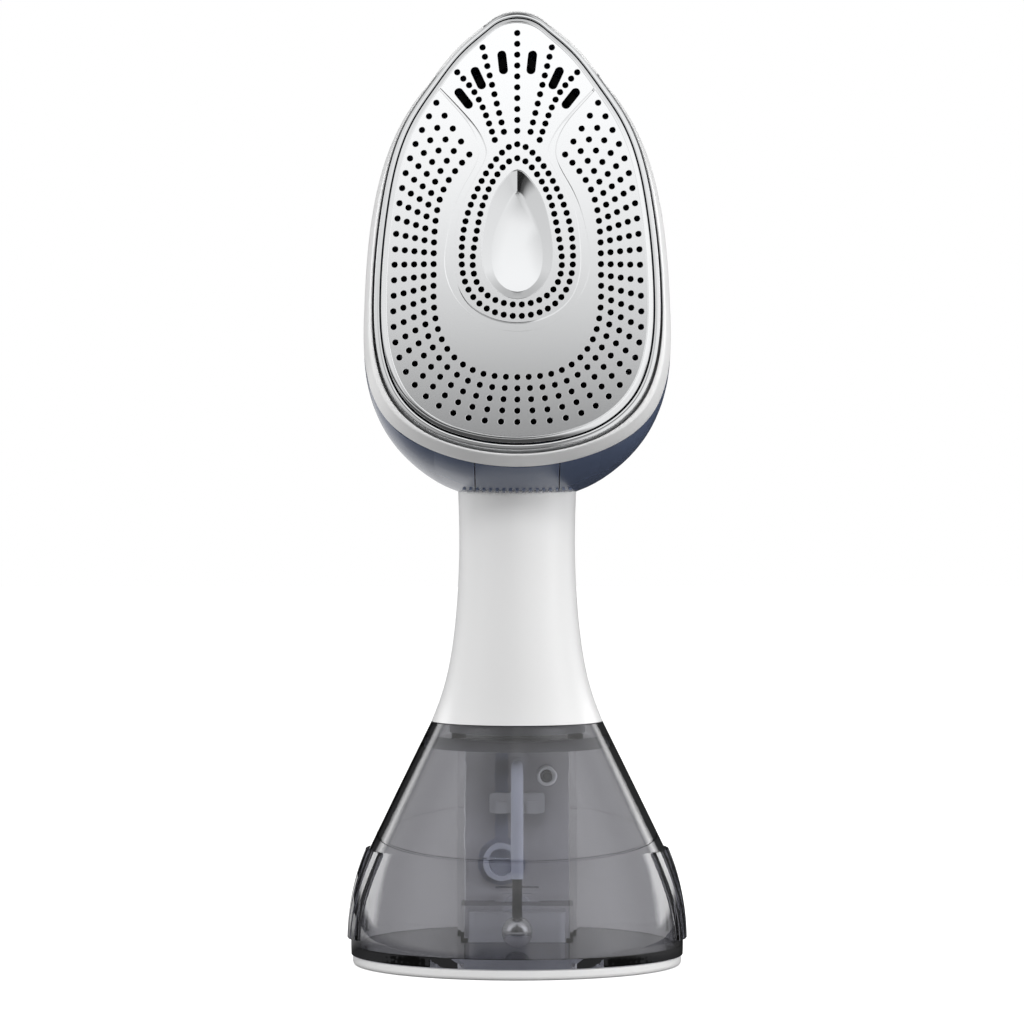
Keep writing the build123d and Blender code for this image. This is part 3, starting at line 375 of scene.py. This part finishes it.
def stamped_sheet(name, outlines, finish, place, **kw):
    """A flat sheet with openings, its edges rolled by a small radius: the first outline is the outside."""
    curve = bpy.data.curves.new(name, "CURVE")
    curve.dimensions, curve.fill_mode = "2D", "BOTH"
    curve.extrude, curve.bevel_depth, curve.bevel_resolution = PLATE_THICK / 2 - EDGE_ROLL, EDGE_ROLL, 1
    curve.offset = -EDGE_ROLL
    for outline in outlines:
        spline = curve.splines.new("POLY")
        spline.points.add(len(outline) - 1)
        spline.points.foreach_set("co", [c for p in outline for c in (p[0], p[1], 0, 1)])
        spline.use_cyclic_u = True
    holder = bpy.data.objects.new(name + "_flat", curve)
    bpy.context.scene.collection.objects.link(holder)
    bpy.context.view_layer.update()
    data = bpy.data.meshes.new_from_object(holder)
    bpy.data.objects.remove(holder)
    data.name = name
    data.materials.clear()
    data.transform(place @ Matrix.Translation((0, 0, -PLATE_THICK / 2)))
    obj = finished(name, data, finish, **kw)
    data.set_sharp_from_angle(angle=SHEET_CREASE)
    ahead = (place.to_3x3() @ Vector((0, 0, 1))).normalized()
    for poly in data.polygons:
        if abs(poly.normal.dot(ahead)) > FLAT:
            poly.use_smooth = False
    return obj


# ------------------------------------------------------------------ materials
def moulded_plastic(name, code, roughness, coat=0.0, size_mm=0.25, ior=1.53):
    """Injection-moulded ABS from a lightly textured tool: even colour, soft highlights."""
    mat = new_material(name)
    tree = mat.node_tree
    fac, normal = grain(tree, size_mm, strength=0.06, distance_mm=0.02)
    shader = add(tree, "ShaderNodeBsdfPrincipled", Base_Color=linear(code), IOR=ior, Coat_Weight=coat,
                 Coat_Roughness=0.12, Normal=normal,
                 Roughness=varied(tree, fac, roughness - 0.03, roughness + 0.03))
    return finish_material(mat, shader.outputs["BSDF"])


def bright_metal(name, code, roughness, size_mm=0.4, stretch=(1, 1, 1), strength=0.02):
    """Metal with a fine surface pattern; stretched along one axis it reads as brushed."""
    mat = new_material(name)
    tree = mat.node_tree
    fac, normal = grain(tree, size_mm, strength, distance_mm=0.01, stretch=stretch)
    shader = add(tree, "ShaderNodeBsdfPrincipled", Base_Color=linear(code), Metallic=1.0,
                 Roughness=varied(tree, fac, roughness * 0.85, roughness * 1.15), Normal=normal)
    return finish_material(mat, shader.outputs["BSDF"])


def smoked_polycarbonate():
    """Clear smoked polycarbonate, injection moulded: nearly black where a wall is seen edge on."""
    mat = new_material("smoked_polycarbonate")
    tree = mat.node_tree
    edge_on = add(tree, "ShaderNodeLayerWeight", Blend=0.5).outputs["Facing"]
    ramp = add(tree, "ShaderNodeValToRGB", Fac=edge_on)
    spots = ramp.color_ramp.elements
    spots[0].position, spots[0].color = 0.48, linear("#dcdce0")
    spots[1].position, spots[1].color = 0.88, linear("#0c0c0e")
    spots.new(0.7).color = linear("#8e8e94")
    glass = add(tree, "ShaderNodeBsdfPrincipled", Base_Color=ramp.outputs["Color"], IOR=1.58,
                Roughness=0.015, Specular_IOR_Level=0.3, Transmission_Weight=1.0)
    clear = add(tree, "ShaderNodeBsdfTransparent", Color=linear("#f6f6f8"))
    shadow = add(tree, "ShaderNodeLightPath").outputs["Is Shadow Ray"]
    mix = add(tree, "ShaderNodeMixShader", i0=shadow, i1=glass.outputs["BSDF"], i2=clear.outputs["BSDF"])
    smoke = add(tree, "ShaderNodeVolumeAbsorption", Color=linear("#8e9098"), Density=10.0)
    add(tree, "ShaderNodeOutputMaterial", Surface=mix.outputs["Shader"], Volume=smoke.outputs["Volume"])
    return mat


def frosted_polycarbonate():
    """Clear polycarbonate with a fine tool texture, which makes it milky."""
    mat = new_material("frosted_polycarbonate")
    tree = mat.node_tree
    fac, normal = grain(tree, size_mm=0.3, strength=0.1, distance_mm=0.02)
    shader = add(tree, "ShaderNodeBsdfPrincipled", Base_Color=linear("#d9dbe0"), IOR=1.58,
                 Transmission_Weight=0.35, Roughness=varied(tree, fac, 0.36, 0.44), Normal=normal)
    return finish_material(mat, shader.outputs["BSDF"])


def soft_silicone(name, code):
    """Milky silicone rubber, moulded: soft light passes a little way in."""
    mat = new_material(name)
    tree = mat.node_tree
    fac, normal = grain(tree, size_mm=0.6, strength=0.05, distance_mm=0.02)
    shader = add(tree, "ShaderNodeBsdfPrincipled", Base_Color=linear(code), IOR=1.41, Subsurface_Weight=0.2,
                 Subsurface_Radius=(1.0, 1.0, 1.0), Subsurface_Scale=0.002,
                 Roughness=varied(tree, fac, 0.34, 0.44), Normal=normal)
    return finish_material(mat, shader.outputs["BSDF"])


def make_materials(look):
    """Every finish on the steamer, by its own name."""
    return {
        "plate": bright_metal("polished_aluminium_plate", look.plate_colour, 0.1, size_mm=0.5,
                              strength=0.05),
        "dish": bright_metal("polished_aluminium_dish", "#d4d5d6", 0.08, size_mm=0.5),
        "trim": bright_metal("bright_rolled_trim", "#d8d9da", 0.06),
        "white": moulded_plastic("white_abs", look.white_colour, 0.34, coat=0.15),
        "blue": moulded_plastic("slate_blue_abs", look.blue_colour, 0.26, coat=0.2),
        "smoked": smoked_polycarbonate(),
        "frosted": frosted_polycarbonate(),
        "silicone": soft_silicone("milky_silicone", "#bec3d2"),
        "steel": bright_metal("drawn_stainless_steel", "#8f9195", 0.22, size_mm=0.5, stretch=(1, 1, 0.08)),
        "cast": bright_metal("die_cast_aluminium", "#9c9c9a", 0.5, size_mm=0.8, strength=0.3),
        # near black and barely glossy: painted shade, so that the steam holes in the soleplate read black
        "shade_black": moulded_plastic("painted_shade_black_casting", "#0a0a0a", 0.95, size_mm=0.8, ior=1.18),
        "dark": moulded_plastic("black_pbt", "#1c1d1f", 0.45),
        "grey": moulded_plastic("light_grey_abs", "#eceef0", 0.4),
        "mid": moulded_plastic("mid_grey_abs", "#66686c", 0.4),
        "rubber": moulded_plastic("grey_elastomer", "#46484c", 0.6, size_mm=0.4),
        "copper": bright_metal("enamelled_copper_wire", "#a8562f", 0.35, size_mm=0.3,
                               stretch=(0.2, 0.2, 3.0), strength=0.5),
        "board": moulded_plastic("green_circuit_board", "#1d4a2c", 0.4),
    }


NODE_FINISH = {
    "plate": ["soleplate"],
    "trim": ["trim_ring", "pickup_weight"],
    "white": ["bezel", "handle_front_shell", "handle_rear_shell", "spine", "foot"],
    "blue": ["head_casing", "trigger", "power_button", "steam_button"],
    "smoked": ["tank_shell", "tank_base"],
    "frosted": ["tube_clip"],
    "silicone": ["suction_hose", "pressure_hose", "fill_stopper", "pickup_hose"],
    "steel": ["heating_element", "thermostat", "heat_shield", "shield_screws", "trigger_pin",
              "trigger_spring", "foot_screws", "pump_piston"],
    "cast": ["water_inlet"],
    # steam chamber and gasket painted near black: painted shade seen through the steam holes
    "shade_black": ["steam_chamber", "chamber_gasket"],
    "dark": ["pickup_stem", "thermal_fuse", "micro_switch", "switch_plunger", "button_switches"],
    "grey": ["dock_block", "water_nipple"],
    "mid": ["coupling_plug", "pump_body"],
    "rubber": ["foot_pads", "cord_gland", "nipple_seal"],
    "copper": ["pump_coil"],
    "board": ["control_board"],
}
FINISH = {}


class SteamerLook(bpy.types.PropertyGroup):
    """What can be changed before the steps are run."""
    white_colour: bpy.props.StringProperty(
        name="White plastic", description="Handle, foot and heat guard", default="#f0f0f0")
    blue_colour: bpy.props.StringProperty(
        name="Blue plastic", description="Rear casing and trigger", default="#56617a")
    plate_colour: bpy.props.StringProperty(
        name="Plate metal", description="Soleplate face", default="#e4e5e6")
    hole_size: bpy.props.FloatProperty(
        name="Steam hole", description="Diameter of a round steam hole", default=0.0019, unit="LENGTH")
    rim_roll: bpy.props.FloatProperty(
        name="Rim roll", description="Width of the soleplate's rolled rim", default=0.0018, unit="LENGTH")


class STEAMER_OT_finishes(bpy.types.Operator):
    """Make every finish and give each CAD node its own"""
    bl_idname = "steamer.finishes"
    bl_label = "Finishes"

    def execute(self, context):
        FINISH.update(make_materials(context.scene.steamer_look))
        for finish, names in NODE_FINISH.items():
            for name in names:
                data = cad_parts[name].data
                data.materials.clear()
                data.materials.append(FINISH[finish])
                data.shade_smooth()
        return {"FINISHED"}


# ------------------------------------------------------------------ soleplate
def steam_hole_centres():
    """Round steam holes: a U-shaped field of rows, two rings and a fan towards the nose."""
    spots = []
    for low, high in zip(smooth_line(LANE_IN, ROWS), smooth_line(LANE_OUT, ROWS)):
        spots += [low.lerp(high, lane / (LANES - 1)) for lane in range(LANES)]
    for line in FAN:
        spots += smooth_line(line, FAN_HOLES)
    spots += [Vector((-p.x, p.y)) for p in spots if p.x > 0.01]
    for ring, count in ((RING_OUT, RING_OUT_HOLES), (RING_IN, RING_IN_HOLES)):
        spots += smooth_line(mirrored(ring), count, True)
    return spots


def round_hole(centre, radius):
    """A round steam hole, as a polygon."""
    sides = 14
    turns = [2 * math.pi * k / sides for k in range(sides)]
    return [(centre[0] + radius * math.cos(a), centre[1] + radius * math.sin(a)) for a in turns]


def slot_hole(x, v, degrees):
    """A round-ended slot."""
    turn, r, reach, points = math.radians(degrees), SLOT_WIDTH / 2, (SLOT_LENGTH - SLOT_WIDTH) / 2, []
    for end in (1, -1):
        for k in range(11):
            a = -math.pi / 2 + math.pi * k / 10
            px, py = end * (reach + r * math.cos(a)), end * r * math.sin(a)
            points.append((x + px * math.cos(turn) - py * math.sin(turn),
                           v + px * math.sin(turn) + py * math.cos(turn)))
    return points


def ribbon_sides():
    """The stamped ribbon's two borders, from its left end round the centre to its right end."""
    return [smooth_line([(-x, v) for x, v in half] + list(reversed(half[:-1])), RIBBON_POINTS)
            for half in (RIBBON_IN, RIBBON_OUT)]


def rolled_rim(roll):
    """Rolled rim: a quarter turn from the face to the skirt."""
    bm = bmesh.new()
    rows = [at_depth(egg(-roll - RIM_TUCK), RIM_TUCK_DEPTH)]
    rows += [at_depth(egg(-roll + roll * math.sin(a)), RIM_DROP * roll * (1 - math.cos(a)))
             for a in (math.radians(9 * k) for k in range(11))]
    rows += [at_depth(egg(0), RIM_BACK)]
    skin(bm, rows)
    return bm


def sunk_ribbon(inner, outer):
    """Ribbon: two sloping walls and a floor, with a lip under the face on each side."""
    bm = bmesh.new()
    rows = [[] for _ in range(8)]
    for a, b in zip(inner, outer):
        width = (b - a).length
        u, slope = (b - a) / width, min(RIBBON_WALL, width / RIBBON_SHARE)
        sunk = slope * RIBBON_STEEPNESS
        profile = [*RIBBON_LIP, (slope, sunk), (slope + RIBBON_EASE, sunk)]
        steps = profile + [(width - step, depth) for step, depth in reversed(profile)]
        for row, (step, depth) in zip(rows, steps):
            q = a + u * step
            row.append((q.x, q.y, -depth))
    skin(bm, rows, closed=False)
    return bm


def teardrop_dish(tear):
    """Teardrop dish: its wall, and a floor that is deeper towards the nose."""
    bm = bmesh.new()
    floor = smooth_line(mirrored(TEAR_FLOOR), TEAR_POINTS, True)
    lean = (DISH_DEEP - DISH_SHALLOW) / DISH_LENGTH
    rows = []
    for t, sink in TEAR_WALL:
        row = [p.lerp(q, t) for p, q in zip(tear, floor)]
        rows.append([(q.x, q.y, -sink * (DISH_SHALLOW + lean * (f.y - DISH_START)))
                     for q, f in zip(row, floor)])
    loops = skin(bm, rows)
    bmesh.ops.contextual_create(bm, geom=loops[-1])
    return bm


class STEAMER_OT_soleplate(bpy.types.Operator):
    """Stamped soleplate: perforated field, rolled rim, sunk ribbon and teardrop dish"""
    bl_idname = "steamer.soleplate"
    bl_label = "Soleplate"

    def execute(self, context):
        look = context.scene.steamer_look
        place, rides, metal = head_place(), "body", "soleplate_aluminium"
        roll, hole_r = look.rim_roll / MM, look.hole_size / MM / 2
        inner, outer = ribbon_sides()
        tear = smooth_line(mirrored(TEAR_RIM), TEAR_POINTS, True)
        holes = [round_hole(c, hole_r) for c in steam_hole_centres()]
        holes += [slot_hole(side * x, v, a if side > 0 else 180 - a)
                  for x, v, a in SLOTS for side in (1, -1)]
        outlines = [egg(-roll), *holes, inner + list(reversed(outer)), tear]
        stamped_sheet("soleplate_face", outlines, "plate", place,
                      body=rides, standing_for=["soleplate"], slot=metal)
        piece("soleplate_rim", rolled_rim(roll), "plate", rides, place, slot=metal)
        piece("soleplate_ribbon", sunk_ribbon(inner, outer), "plate", rides, place, slot=metal)
        dish = piece("soleplate_dish", teardrop_dish(tear), "dish", rides, place, slot=metal)
        dish.data.set_sharp_from_angle(angle=DISH_CREASE)
        return {"FINISHED"}


class STEAMER_OT_guard(bpy.types.Operator):
    """White heat guard that flares out behind the trim, with eased edges"""
    bl_idname = "steamer.guard"
    bl_label = "Heat guard"

    def execute(self, context):
        bm = bmesh.new()
        rows = grown(GUARD_LIP, tip=GUARD_LIP_TIP)
        rows += grown(GUARD_FLARE, sides=GUARD_SIDES, tip=GUARD_FLARE_TIP)
        skin(bm, rows + rows[:1])
        piece("heat_guard", bm, "white", "body", head_place(), standing_for=["bezel"], slot="white_plastic")
        return {"FINISHED"}


class STEAMER_OT_trim(bpy.types.Operator):
    """Rolled bright bead round the soleplate, with a flange that runs back under the heat guard"""
    bl_idname = "steamer.trim"
    bl_label = "Rolled trim"

    def execute(self, context):
        bm = bmesh.new()
        profile = [BEAD_INSIDE]
        for centre, depth, radius, turns in BEAD_ARCS:
            profile += [(centre + radius * math.sin(a), depth - radius * math.cos(a))
                        for a in map(math.radians, turns)]
        rows = grown(profile + BEAD_FLANGE)
        skin(bm, rows + rows[:1])
        piece("trim_bead", bm, "trim", "body", head_place(), standing_for=["trim_ring"], slot="bright_trim")
        return {"FINISHED"}


class STEAMER_OT_vent(bpy.types.Operator):
    """Elastomer vent valve in the tank's air port: a ringed disc that lets air in as the water goes out"""
    bl_idname = "steamer.vent"
    bl_label = "Vent valve"

    def execute(self, context):
        place = Matrix.Translation(VENT_AT * MM) @ Matrix.Rotation(QUARTER, 4, "X") @ Matrix.Scale(MM, 4)
        turns = [2 * math.pi * k / VENT_SIDES for k in range(VENT_SIDES)]
        for name, finish, slot, profile in (("vent_collar", "grey", "grey_plastic", VENT_COLLAR),
                                            ("vent_valve", "rubber", "rubber", VENT_VALVE)):
            bm = bmesh.new()
            rings = [(max(r, VENT_AXIS), z) for r, z in profile]
            rows = [[(r * math.cos(a), r * math.sin(a), z) for a in turns] for r, z in rings]
            skin(bm, rows + rows[:1])
            part = piece(name, bm, finish, "tank", place, slot=slot)
            part.data.set_sharp_from_angle(angle=VENT_CREASE)
        return {"FINISHED"}


class STEAMER_OT_spring(bpy.types.Operator):
    """Trigger's return spring: a steel coil in place of the CAD's, attached to no body"""
    bl_idname = "steamer.spring"
    bl_label = "Return spring"

    def execute(self, context):
        coil_r, wire_r, low, high, turns, steps = 2.1, 0.4, 152.9, 162.5, 5, 100
        bm = bmesh.new()
        upright = Matrix.Translation((coil_r, -28.4, low)) @ Matrix.Rotation(QUARTER, 4, "X")
        circle = bmesh.ops.create_circle(bm, radius=wire_r, segments=8, matrix=upright)
        ring = list({e for v in circle["verts"] for e in v.link_edges})
        bmesh.ops.spin(bm, geom=circle["verts"] + ring, cent=(0, -28.4, 0), axis=(0, 0, 1), use_merge=False,
                       dvec=(0, 0, (high - low) / steps), angle=2 * math.pi * turns, steps=steps,
                       use_duplicate=False)
        bmesh.ops.holes_fill(bm, edges=[e for e in bm.edges if e.is_boundary], sides=8)
        spring = piece("return_spring", bm, "steel", None, slot="steel", standing_for=["trigger_spring"])
        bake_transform(spring)
        return {"FINISHED"}


# ------------------------------------------------------------------ studio
def glow(tree, strength):
    """White light of a given strength."""
    return add(tree, "ShaderNodeEmission", Color=linear("#ffffff"), Strength=strength)


class STEAMER_OT_stage(bpy.types.Operator):
    """Pale floor, soft studio lights and the camera"""
    bl_idname = "steamer.stage"
    bl_label = "Stage"

    def execute(self, context):
        scene = context.scene
        bm = bmesh.new()
        bmesh.ops.create_grid(bm, x_segments=1, y_segments=1, size=FLOOR_REACH)
        data = bpy.data.meshes.new("floor")
        bm.to_mesh(data)
        bm.free()
        floor = bpy.data.objects.new("floor", data)
        scene.collection.objects.link(floor)
        data.materials.append(floor_material())
        make_world(scene)
        make_lights(scene)
        make_camera(scene)
        scene.view_settings.view_transform = "Standard"
        return {"FINISHED"}


def floor_material():
    """Pale to the camera, dim to the light that bounces, and with cards of its own for reflections."""
    mat = new_material("pale_floor")
    tree = mat.node_tree
    paper = add(tree, "ShaderNodeBsdfDiffuse", Color=linear("#d8d8d8"))
    bright = glow(tree, FLOOR_GLOW)
    lit = add(tree, "ShaderNodeAddShader", i0=paper.outputs["BSDF"], i1=bright.outputs["Emission"])
    dim = add(tree, "ShaderNodeBsdfDiffuse", Color=linear("#8a8a8a"))
    path = add(tree, "ShaderNodeLightPath").outputs
    through = glow(tree, through_plastic(tree, path))
    card = glow(tree, floor_cards(tree))
    return finish_material(mat, per_ray(tree, path, dim.outputs["BSDF"], ("Is Glossy Ray", card),
                                        ("Is Transmission Ray", through), ("Is Camera Ray", lit)))


def through_plastic(tree, path):
    """Four surfaces are two walls, which show the pale backdrop; two are a solid edge, which stays dark."""
    return varied(tree, stepped(tree, path["Transmission Depth"], *TWO_WALLS), EDGE_ON, BEHIND)


def floor_cards(tree):
    """What reflections see on the floor: cards front right and back left, and a pool of light."""
    where = add(tree, "ShaderNodeTexCoord").outputs["Object"]
    spot = add(tree, "ShaderNodeSeparateXYZ", Vector=where).outputs
    reach = add(tree, "ShaderNodeVectorMath", {"operation": "LENGTH"}, i0=where).outputs["Value"]
    in_front = stepped(tree, spot["Y"], *CARDS_FRONT)
    behind_left = combined(tree, "MULTIPLY", stepped(tree, spot["X"], *CARD_LEFT),
                           stepped(tree, spot["Y"], *CARD_BEHIND))
    front_right = combined(tree, "MULTIPLY", stepped(tree, spot["X"], *CARD_RIGHT), in_front)
    near = combined(tree, "MULTIPLY", stepped(tree, reach, *NEAR_FADE), in_front, NEAR_CARD)
    pool = combined(tree, "MULTIPLY", band(tree, reach, POOL_RING), in_front, POOL)
    return varied(tree, combined(tree, "MAXIMUM", behind_left, front_right, near, pool), FLOOR_GREY, 1.0)


def by_height(tree, sine, spots):
    """A grey ramp over the sine of the elevation."""
    height = stepped(tree, sine, -1.0, 1.0)
    ramp = add(tree, "ShaderNodeValToRGB", Fac=height)
    ends = ramp.color_ramp.elements
    for end, position, spot in zip(ends, (0.0, 1.0), (spots[0], spots[-1])):
        end.position, end.color = position, (spot[1],) * 3 + (1,)
    for sine_at, grey in spots:
        ends.new((sine_at + 1) / 2).color = (grey, grey, grey, 1)
    return ramp.outputs["Color"]


def make_world(scene):
    """White backdrop to the camera and through the tank, soft ambient light, and walls for reflections."""
    world = bpy.data.worlds.new("studio")
    scene.world = world
    world.use_nodes = True
    tree = world.node_tree
    tree.nodes.clear()
    path = add(tree, "ShaderNodeLightPath").outputs
    view = add(tree, "ShaderNodeTexCoord").outputs["Generated"]
    toward = add(tree, "ShaderNodeSeparateXYZ", Vector=view).outputs
    front, near, far, right, ambient = [by_height(tree, toward["Z"], spots)
                                        for spots in (FRONT, LEFT_NEAR, LEFT_FAR, RIGHT, AMBIENT)]
    left = mixed(tree, stepped(tree, toward["X"], *TO_FAR_LEFT), near, far)
    flanks = mixed(tree, stepped(tree, toward["X"], *TO_RIGHT), left, right)
    wall = mixed(tree, stepped(tree, magnitude(tree, toward["X"]), *TO_FLANKS), front, flanks)
    strips = combined(tree, "MULTIPLY", band(tree, toward["Y"], STRIP_AWAY),
                      band(tree, toward["Z"], STRIP_UP), STRIP)
    ahead = varied(tree, stepped(tree, toward["Y"], *BACK_TO_FRONT), BACK_GREY, 1.0)
    sky = add(tree, "ShaderNodeBackground", Color=wall, Strength=combined(tree, "MAXIMUM", ahead, strips))
    soft = add(tree, "ShaderNodeBackground", Color=ambient)
    white = add(tree, "ShaderNodeBackground", Color=(1, 1, 1, 1))
    grey = add(tree, "ShaderNodeBackground", Color=(1, 1, 1, 1), Strength=through_plastic(tree, path))
    beside = varied(tree, stepped(tree, toward["Y"], *TO_BESIDE), FACING, BESIDE)
    inside = add(tree, "ShaderNodeBackground", Color=wall, Strength=beside)
    through = add(tree, "ShaderNodeMixShader", i0=stepped(tree, toward["Y"], *TO_BACKDROP),
                  i1=inside.outputs["Background"], i2=grey.outputs["Background"])
    add(tree, "ShaderNodeOutputWorld",
        Surface=per_ray(tree, path, soft.outputs["Background"], ("Is Glossy Ray", sky),
                        ("Is Transmission Ray", through), ("Is Camera Ray", white)))


def make_lights(scene):
    """Soft area lights that light the matt surfaces; the world alone is seen in the glossy ones."""
    for name, place, target, width, height, watts in LIGHTS:
        light = bpy.data.lights.new(name, "AREA")
        light.shape, light.size, light.size_y, light.energy = "RECTANGLE", width, height, watts
        lamp = bpy.data.objects.new(name, light)
        lamp.location = place
        lamp.rotation_euler = (Vector(target) - Vector(place)).to_track_quat("-Z", "Y").to_euler()
        lamp.visible_glossy = False
        lamp.visible_transmission = False
        scene.collection.objects.link(lamp)


def make_camera(scene):
    """Level camera in front of the steamer, a little under mid height."""
    data = bpy.data.cameras.new("camera")
    data.sensor_width = SENSOR_MM
    data.lens = SENSOR_MM * CAMERA_DISTANCE / VIEW_WIDTH
    cam = bpy.data.objects.new("camera", data)
    cam.location = (CAMERA_X, -CAMERA_DISTANCE, CAMERA_Z)
    cam.rotation_euler = (QUARTER, 0, 0)
    scene.collection.objects.link(cam)
    scene.camera = cam


# ------------------------------------------------------------------ add-on
STEPS = [STEAMER_OT_finishes, STEAMER_OT_soleplate, STEAMER_OT_guard, STEAMER_OT_trim, STEAMER_OT_vent,
         STEAMER_OT_spring, STEAMER_OT_stage]


class STEAMER_PT_panel(bpy.types.Panel):
    """Lists the steps in the sidebar"""
    bl_idname = "STEAMER_PT_panel"
    bl_label = "Garment steamer"
    bl_space_type = "VIEW_3D"
    bl_region_type = "UI"
    bl_category = "Steamer"

    def draw(self, context):
        for name in ("white_colour", "blue_colour", "plate_colour", "hole_size", "rim_roll"):
            self.layout.prop(context.scene.steamer_look, name)
        for step in STEPS:
            self.layout.operator(step.bl_idname)


CLASSES = [SteamerLook, *STEPS, STEAMER_PT_panel]


def register():
    for cls in CLASSES:
        bpy.utils.register_class(cls)
    bpy.types.Scene.steamer_look = bpy.props.PointerProperty(type=SteamerLook)


def unregister():
    del bpy.types.Scene.steamer_look
    for cls in reversed(CLASSES):
        bpy.utils.unregister_class(cls)


def main():
    register()
    for step in STEPS:
        group, name = step.bl_idname.split(".")
        getattr(getattr(bpy.ops, group), name)()


if __name__ == "__main__":
    main()
